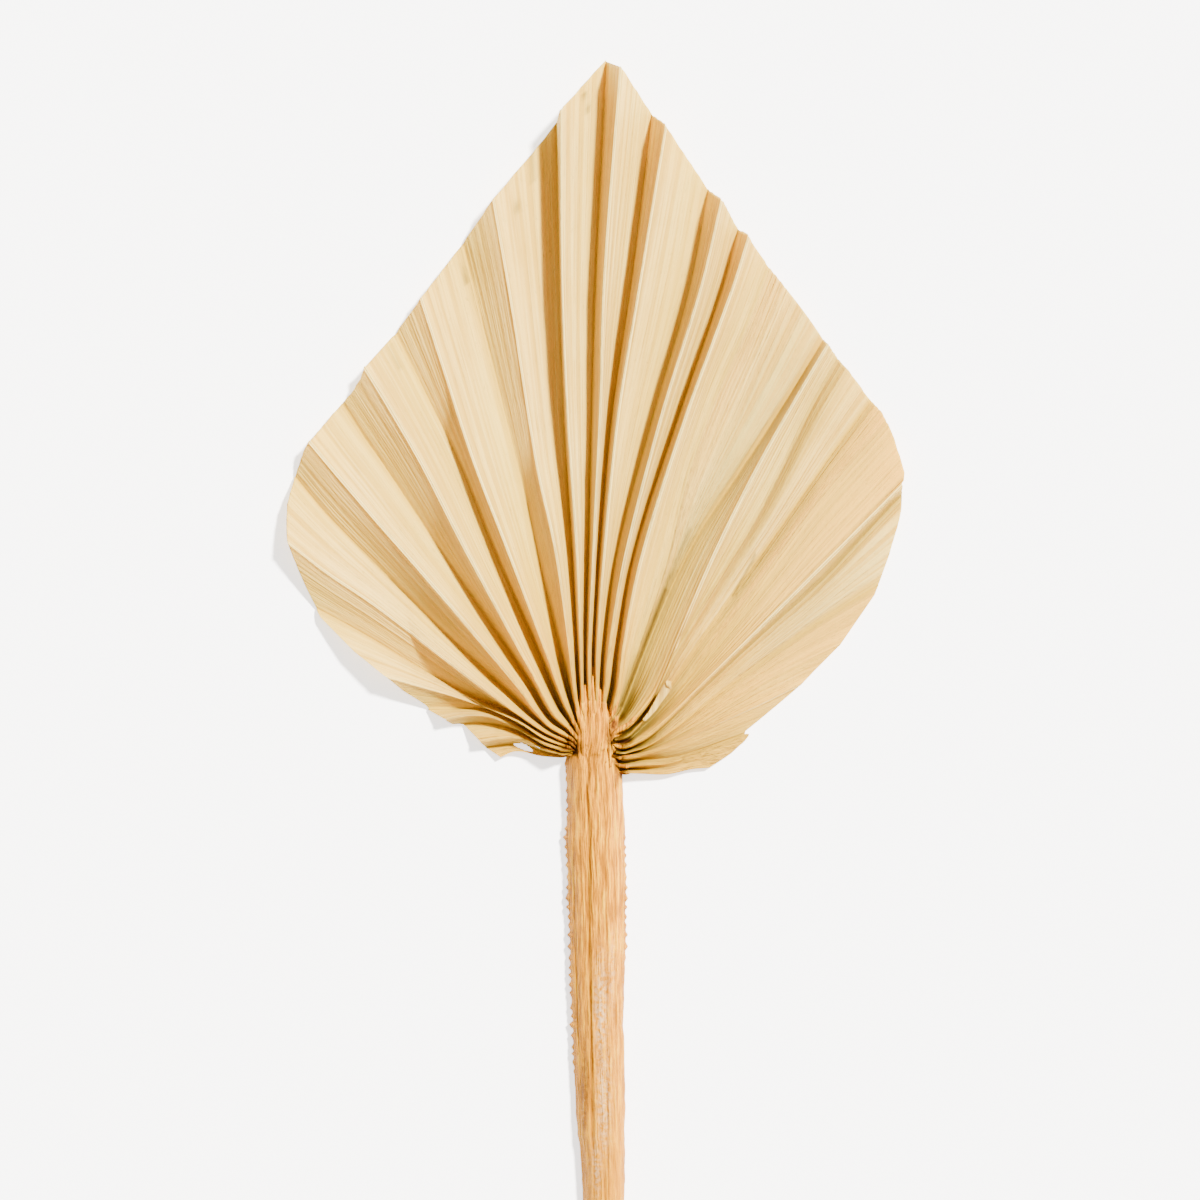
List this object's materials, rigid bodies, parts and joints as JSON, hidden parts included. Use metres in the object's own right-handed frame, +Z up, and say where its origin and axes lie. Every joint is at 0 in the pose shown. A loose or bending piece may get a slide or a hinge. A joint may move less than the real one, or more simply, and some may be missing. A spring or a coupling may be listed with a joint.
{
  "type": "fan palm leaf",
  "caption": "Small dried fan palm leaf lying flat: a pleated, pointed fan blade, cut to a spade shape, on a long toothed stalk.",
  "frame": {"origin": "centre of the leaf's box, on the surface it lies on", "axes": "+Y along the leaf from the cut stalk to the tip of the fan, +Z up from the surface"},
  "size_m": [0.1353, 0.4208, 0.0105],
  "materials": {
    "dried_leaf": "dry, matt, finely ribbed leaf sheet, cream on the broad panels and amber in the folds",
    "dried_stalk": "dry, slightly waxy, fibrous tan stalk with brown scars and pale scuffs"
  },
  "bodies": {
    "root": {"leaf_blade": "dried_leaf", "petiole": "dried_stalk"}
  },
  "joints": []
}
